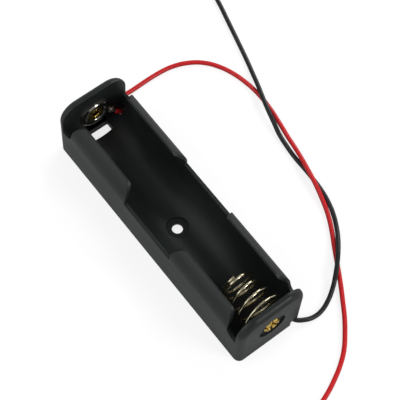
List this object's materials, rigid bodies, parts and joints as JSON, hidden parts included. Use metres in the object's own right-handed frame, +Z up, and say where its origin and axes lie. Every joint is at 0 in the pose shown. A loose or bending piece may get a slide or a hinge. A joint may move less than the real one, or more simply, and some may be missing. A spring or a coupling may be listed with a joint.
{
  "type": "cylindrical cell holder",
  "caption": "Open moulded tray that clips round a cylindrical cell, with a coil spring, riveted end contacts and red and black wire leads.",
  "frame": {"origin": "middle of the tray's flat underside", "axes": "+X along the cell from the positive end to the spring end, +Y towards the side that the leads leave on, +Z up out of the open tray"},
  "size_m": [0.1226, 0.0799, 0.0205],
  "materials": {
    "black_plastic": "satin moulded",
    "plated_sheet": "nickel plated",
    "brass": "bright",
    "spring_wire": "nickel plated",
    "solder": "bright solder with flux",
    "red_insulation": "satin",
    "black_insulation": "satin",
    "tinned_strands": "tinned copper"
  },
  "bodies": {
    "holder": {"tray": "black_plastic", "positive_contact": "plated_sheet", "positive_eyelet": "brass", "positive_solder": "solder", "negative_tag": "plated_sheet", "negative_eyelet": "brass", "negative_solder": "solder", "red_lead": "red_insulation", "red_lead_strands": "tinned_strands", "black_lead": "black_insulation", "black_lead_strands": "tinned_strands"},
    "spring": {"negative_spring": "spring_wire"}
  },
  "joints": [
    {"name": "spring_press", "type": "slide", "parent": "holder", "child": "spring", "axis": [1, 0, 0], "range_m": [0, 0.0075], "stiffness_N_per_m": 300, "deforming": ["negative_spring"]}
  ]
}
